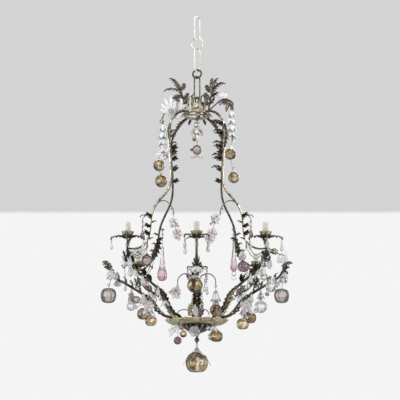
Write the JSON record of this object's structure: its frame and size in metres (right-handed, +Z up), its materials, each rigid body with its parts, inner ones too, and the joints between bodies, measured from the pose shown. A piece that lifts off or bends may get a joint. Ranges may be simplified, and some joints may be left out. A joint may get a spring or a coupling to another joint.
{
  "type": "chandelier",
  "caption": "Hanging cage chandelier of patinated brass with candle arms, a scalloped dish, glass fruit, flowers and drops, on a short chain.",
  "frame": {"origin": "seat of the ceiling hook, inside the top of the first chain link", "axes": "+Z up, -Y to the front, +X to the right as seen from the front"},
  "size_m": [0.7724, 0.7706, 1.5578],
  "materials": {
    "pale_brass": "worn satin",
    "dark_bronze": "dark patina",
    "bronze": "brown patina, rubbed bright on the edges",
    "olive_brass": "aged satin",
    "candle_white": "matt",
    "clear_glass": "polished",
    "amber_glass": "polished",
    "pink_glass": "polished",
    "purple_glass": "polished",
    "smoky_glass": "polished"
  },
  "bodies": {
    "ceiling_link": {"ceiling_link": "pale_brass"},
    "upper_ring": {"upper_ring": "pale_brass"},
    "middle_link": {"middle_link": "pale_brass"},
    "lower_ring": {"lower_ring": "dark_bronze"},
    "lower_link": {"lower_link": "dark_bronze"},
    "chandelier": {"crown_hub": "bronze", "crown_spray_left": "dark_bronze", "crown_spray_right": "dark_bronze", "front_left_stem": "bronze", "front_right_stem": "bronze", "back_right_stem": "bronze", "back_left_stem": "bronze", "front_left_arm": "bronze", "front_left_cup": "olive_brass", "front_left_lamp_holder": "candle_white", "front_arm": "bronze", "front_cup": "olive_brass", "front_lamp_holder": "candle_white", "front_right_arm": "bronze", "front_right_cup": "olive_brass", "front_right_lamp_holder": "candle_white", "right_arm": "bronze", "back_right_arm": "bronze", "back_right_cup": "olive_brass", "back_right_lamp_holder": "candle_white", "back_arm": "bronze", "back_cup": "olive_brass", "back_lamp_holder": "candle_white", "back_left_arm": "bronze", "back_left_cup": "olive_brass", "back_left_lamp_holder": "candle_white", "left_arm": "bronze", "dish": "olive_brass", "dish_boss": "dark_bronze", "finial": "dark_bronze"},
    "purple_drop_left": {"purple_drop_left": "purple_glass"},
    "purple_drop_right": {"purple_drop_right": "purple_glass"},
    "pink_teardrop_right": {"pink_teardrop_right": "pink_glass"},
    "pink_teardrop_left": {"pink_teardrop_left": "pink_glass"},
    "pink_flower_garland_left": {"pink_flower_garland_left": "pink_glass"},
    "smoky_ball_left": {"smoky_ball_left": "smoky_glass"},
    "pink_flower_garland_right": {"pink_flower_garland_right": "pink_glass"},
    "purple_fruit_right": {"purple_fruit_right": "purple_glass"},
    "crown_string_left": {"crown_string_left": "amber_glass"},
    "crown_string_right": {"crown_string_right": "amber_glass"},
    "crown_centre_string": {"crown_centre_string": "clear_glass"},
    "smoky_apple_left": {"smoky_apple_left": "smoky_glass"},
    "smoky_apple_right": {"smoky_apple_right": "smoky_glass"},
    "clear_ball_left": {"clear_ball_left": "clear_glass"},
    "clear_ball_right": {"clear_ball_right": "clear_glass"},
    "clear_faceted_ball_right": {"clear_faceted_ball_right": "clear_glass"},
    "amber_pair_left": {"amber_pair_left": "amber_glass"},
    "amber_pair_right": {"amber_pair_right": "amber_glass"},
    "amber_ball_front": {"amber_ball_front": "amber_glass"},
    "amber_ball_back": {"amber_ball_back": "amber_glass"},
    "pink_flower_front": {"pink_flower_front": "pink_glass"},
    "bell_string_front": {"bell_string_front": "clear_glass"},
    "rim_fruit_left": {"rim_fruit_left": "amber_glass"},
    "rim_fruit_right": {"rim_fruit_right": "amber_glass"},
    "bottom_fruit": {"bottom_fruit": "amber_glass"}
  },
  "joints": [
    {"name": "upper_ring_swing", "type": "hinge", "parent": "ceiling_link", "child": "upper_ring", "pos_m": [0, 0, -0.109], "axis": [0.788, 0.6157, 0], "range_deg": [-20, 20]},
    {"name": "middle_link_swing", "type": "hinge", "parent": "upper_ring", "child": "middle_link", "pos_m": [0, 0, -0.1547], "axis": [0.9703, -0.2419, 0], "range_deg": [-20, 20]},
    {"name": "lower_ring_swing", "type": "hinge", "parent": "middle_link", "child": "lower_ring", "pos_m": [0, 0, -0.2624], "axis": [0.788, 0.6157, 0], "range_deg": [-18, 18]},
    {"name": "lower_link_swing", "type": "hinge", "parent": "lower_ring", "child": "lower_link", "pos_m": [0, 0, -0.2931], "axis": [0.9703, -0.2419, 0], "range_deg": [-15, 15]},
    {"name": "crown_swing", "type": "hinge", "parent": "lower_link", "child": "chandelier", "pos_m": [0, 0, -0.3898], "axis": [0.788, 0.6157, 0], "range_deg": [-12, 12]},
    {"name": "purple_drop_left_swing", "type": "hinge", "parent": "chandelier", "child": "purple_drop_left", "pos_m": [-0.21026, -0.21026, -0.98881], "axis": [-0.7071, -0.7071, 0], "range_deg": [-15, 15]},
    {"name": "purple_drop_right_swing", "type": "hinge", "parent": "chandelier", "child": "purple_drop_right", "pos_m": [0.21026, -0.21026, -0.98881], "axis": [0.7071, -0.7071, 0], "range_deg": [-15, 15]},
    {"name": "pink_teardrop_right_swing", "type": "hinge", "parent": "chandelier", "child": "pink_teardrop_right", "pos_m": [0.15772, 0.13651, -0.96648], "axis": [-0.2588, -0.9659, 0], "range_deg": [-15, 15]},
    {"name": "pink_teardrop_left_swing", "type": "hinge", "parent": "chandelier", "child": "pink_teardrop_left", "pos_m": [-0.14949, 0.13778, -0.96648], "axis": [0.5, -0.866, 0], "range_deg": [-15, 15]},
    {"name": "pink_flower_garland_left_swing", "type": "hinge", "parent": "chandelier", "child": "pink_flower_garland_left", "pos_m": [-0.0948, -0.0948, -0.92609], "axis": [-0.7071, -0.7071, 0], "range_deg": [-15, 15]},
    {"name": "smoky_ball_left_swing", "type": "hinge", "parent": "chandelier", "child": "smoky_ball_left", "pos_m": [-0.19273, -0.19273, -1.08234], "axis": [-0.7071, -0.7071, 0], "range_deg": [-15, 15]},
    {"name": "pink_flower_garland_right_swing", "type": "hinge", "parent": "chandelier", "child": "pink_flower_garland_right", "pos_m": [0.0948, -0.0948, -0.92609], "axis": [0.7071, -0.7071, 0], "range_deg": [-15, 15]},
    {"name": "purple_fruit_right_swing", "type": "hinge", "parent": "chandelier", "child": "purple_fruit_right", "pos_m": [0.19273, -0.19273, -1.08234], "axis": [0.7071, -0.7071, 0], "range_deg": [-15, 15]},
    {"name": "crown_string_left_swing", "type": "hinge", "parent": "chandelier", "child": "crown_string_left", "pos_m": [-0.1475, 0, -0.49875], "axis": [-1, 0, 0], "range_deg": [-12, 12]},
    {"name": "crown_string_right_swing", "type": "hinge", "parent": "chandelier", "child": "crown_string_right", "pos_m": [0.1475, 0, -0.43872], "axis": [1, 0, 0], "range_deg": [-12, 12]},
    {"name": "crown_centre_string_swing", "type": "hinge", "parent": "chandelier", "child": "crown_centre_string", "pos_m": [0, 0, -0.487], "axis": [0, 1, 0], "range_deg": [-12, 12]},
    {"name": "smoky_apple_left_swing", "type": "hinge", "parent": "chandelier", "child": "smoky_apple_left", "pos_m": [-0.356, -0.032, -1.133], "axis": [-1, 0, 0], "range_deg": [-15, 15]},
    {"name": "smoky_apple_right_swing", "type": "hinge", "parent": "chandelier", "child": "smoky_apple_right", "pos_m": [0.356, -0.032, -1.133], "axis": [1, 0, 0], "range_deg": [-15, 15]},
    {"name": "clear_ball_left_swing", "type": "hinge", "parent": "chandelier", "child": "clear_ball_left", "pos_m": [-0.26591, 0, -1.23107], "axis": [-1, 0, 0], "range_deg": [-15, 15]},
    {"name": "clear_ball_right_swing", "type": "hinge", "parent": "chandelier", "child": "clear_ball_right", "pos_m": [0.25898, 0, -1.23504], "axis": [1, 0, 0], "range_deg": [-15, 15]},
    {"name": "clear_faceted_ball_right_swing", "type": "hinge", "parent": "chandelier", "child": "clear_faceted_ball_right", "pos_m": [0.29594, -0.06, -1.18563], "axis": [1, 0, 0], "range_deg": [-15, 15]},
    {"name": "amber_pair_left_swing", "type": "hinge", "parent": "chandelier", "child": "amber_pair_left", "pos_m": [-0.20123, 0, -1.2731], "axis": [-1, 0, 0], "range_deg": [-15, 15]},
    {"name": "amber_pair_right_swing", "type": "hinge", "parent": "chandelier", "child": "amber_pair_right", "pos_m": [0.20123, 0, -1.2731], "axis": [1, 0, 0], "range_deg": [-15, 15]},
    {"name": "amber_ball_front_swing", "type": "hinge", "parent": "chandelier", "child": "amber_ball_front", "pos_m": [0, -0.3, -1.20538], "axis": [0, -1, 0], "range_deg": [-15, 15]},
    {"name": "amber_ball_back_swing", "type": "hinge", "parent": "chandelier", "child": "amber_ball_back", "pos_m": [0, 0.3, -1.20538], "axis": [0, 1, 0], "range_deg": [-15, 15]},
    {"name": "pink_flower_front_swing", "type": "hinge", "parent": "chandelier", "child": "pink_flower_front", "pos_m": [-0.072, -0.232, -1.24619], "axis": [1, 0, 0], "range_deg": [-15, 15]},
    {"name": "bell_string_front_swing", "type": "hinge", "parent": "chandelier", "child": "bell_string_front", "pos_m": [0.072, -0.232, -1.24619], "axis": [1, 0, 0], "range_deg": [-15, 15]},
    {"name": "rim_fruit_left_swing", "type": "hinge", "parent": "chandelier", "child": "rim_fruit_left", "pos_m": [-0.07048, -0.08704, -1.37079], "axis": [0.7771, -0.6293, 0], "range_deg": [-15, 15]},
    {"name": "rim_fruit_right_swing", "type": "hinge", "parent": "chandelier", "child": "rim_fruit_right", "pos_m": [0.07048, -0.08704, -1.37079], "axis": [0.7771, 0.6293, 0], "range_deg": [-15, 15]},
    {"name": "bottom_fruit_swing", "type": "hinge", "parent": "chandelier", "child": "bottom_fruit", "pos_m": [0, 0, -1.44939], "axis": [1, 0, 0], "range_deg": [-15, 15]}
  ]
}
